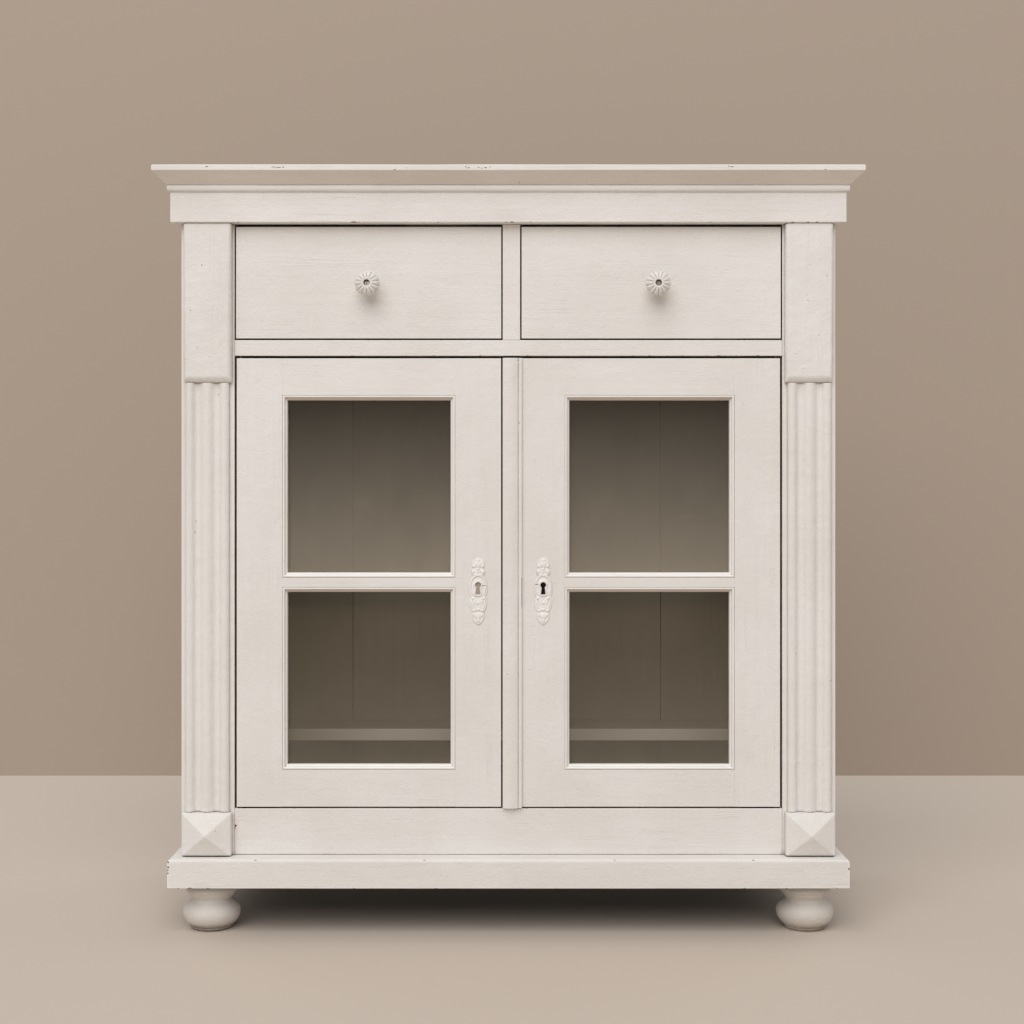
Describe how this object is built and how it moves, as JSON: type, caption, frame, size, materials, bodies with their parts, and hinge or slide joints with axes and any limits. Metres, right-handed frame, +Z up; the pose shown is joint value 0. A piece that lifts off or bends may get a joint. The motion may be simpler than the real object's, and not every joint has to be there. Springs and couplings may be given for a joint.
{
  "type": "glazed cabinet with drawers",
  "caption": "Half-height painted cabinet: a pair of drawers over a pair of glazed doors between reeded pilasters, on a plinth with turned bun feet.",
  "frame": {"origin": "on the floor at the middle of the cabinet's footprint, cornice included", "axes": "+Z up, -Y towards the front where the doors are, +X to the right seen from the front"},
  "size_m": [1.018, 0.4284, 1.1032],
  "materials": {
    "painted_wood": "chalky off-white paint, brushed by hand, worn at the edges",
    "inner_wood": "thin grey paint over softwood",
    "bare_wood": "bare old softwood, waxed by use",
    "painted_metal": "cast metal painted over with the front",
    "iron": "dark old iron",
    "glass": "clear window glass"
  },
  "bodies": {
    "carcass": {"apron": "painted_wood", "back_boards": "inner_wood", "bead_moulding": "painted_wood", "bottom_board": "inner_wood", "crown_moulding": "painted_wood", "diamond_block_left": "painted_wood", "diamond_block_right": "painted_wood", "door_stops": "inner_wood", "drawer_divider": "painted_wood", "drawer_guides": "bare_wood", "drawer_kickers": "bare_wood", "drawer_partition": "bare_wood", "drawer_runners": "bare_wood", "drawer_stops": "bare_wood", "dust_board": "inner_wood", "face_stiles": "painted_wood", "frieze": "painted_wood", "head_block_left": "painted_wood", "head_block_right": "painted_wood", "mid_rail": "painted_wood", "pivot_sockets": "iron", "plate_shelf": "inner_wood", "plinth_frame": "painted_wood", "reeded_shaft_left": "painted_wood", "reeded_shaft_right": "painted_wood", "shelf_cleats": "inner_wood", "side_panel_left": "painted_wood", "side_panel_right": "painted_wood", "top_board": "painted_wood", "top_rail": "painted_wood", "turned_feet": "painted_wood"},
    "left_door": {"left_door_stiles": "painted_wood", "left_door_rails": "painted_wood", "left_door_mouldings": "painted_wood", "left_door_panes": "glass", "left_door_pivots": "iron", "left_escutcheon": "painted_metal", "lock_strike": "iron", "slide_bolt_keepers": "iron"},
    "right_door": {"right_door_stiles": "painted_wood", "right_door_rails": "painted_wood", "right_door_mouldings": "painted_wood", "right_door_panes": "glass", "right_door_pivots": "iron", "right_escutcheon": "painted_metal", "astragal": "painted_wood", "lock_case": "iron"},
    "slide_bolt_upper": {"slide_bolt_upper": "iron"},
    "slide_bolt_lower": {"slide_bolt_lower": "iron"},
    "lock_bolt": {"lock_bolt": "iron"},
    "left_drawer": {"left_drawer_bottom": "bare_wood", "left_drawer_front": "painted_wood", "left_drawer_sides_and_back": "bare_wood", "left_knob": "painted_wood", "left_knob_screw": "iron"},
    "right_drawer": {"right_drawer_bottom": "bare_wood", "right_drawer_front": "painted_wood", "right_drawer_sides_and_back": "bare_wood", "right_knob": "painted_wood", "right_knob_screw": "iron"}
  },
  "joints": [
    {"name": "left_door_hinge", "type": "hinge", "parent": "carcass", "child": "left_door", "pos_m": [-0.3885, -0.17025, 0.18], "axis": [0, 0, -1], "range_deg": [0, 100]},
    {"name": "right_door_hinge", "type": "hinge", "parent": "carcass", "child": "right_door", "pos_m": [0.3885, -0.17025, 0.18], "axis": [0, 0, 1], "range_deg": [0, 100]},
    {"name": "left_drawer_slide", "type": "slide", "parent": "carcass", "child": "left_drawer", "axis": [0, -1, 0], "range_m": [0, 0.25]},
    {"name": "right_drawer_slide", "type": "slide", "parent": "carcass", "child": "right_drawer", "axis": [0, -1, 0], "range_m": [0, 0.25]},
    {"name": "lock_bolt_slide", "type": "slide", "parent": "right_door", "child": "lock_bolt", "axis": [-1, 0, 0], "range_m": [0, 0.009]},
    {"name": "upper_bolt_slide", "type": "slide", "parent": "left_door", "child": "slide_bolt_upper", "axis": [0, 0, 1], "range_m": [0, 0.012]},
    {"name": "lower_bolt_slide", "type": "slide", "parent": "left_door", "child": "slide_bolt_lower", "axis": [0, 0, -1], "range_m": [0, 0.012]}
  ]
}
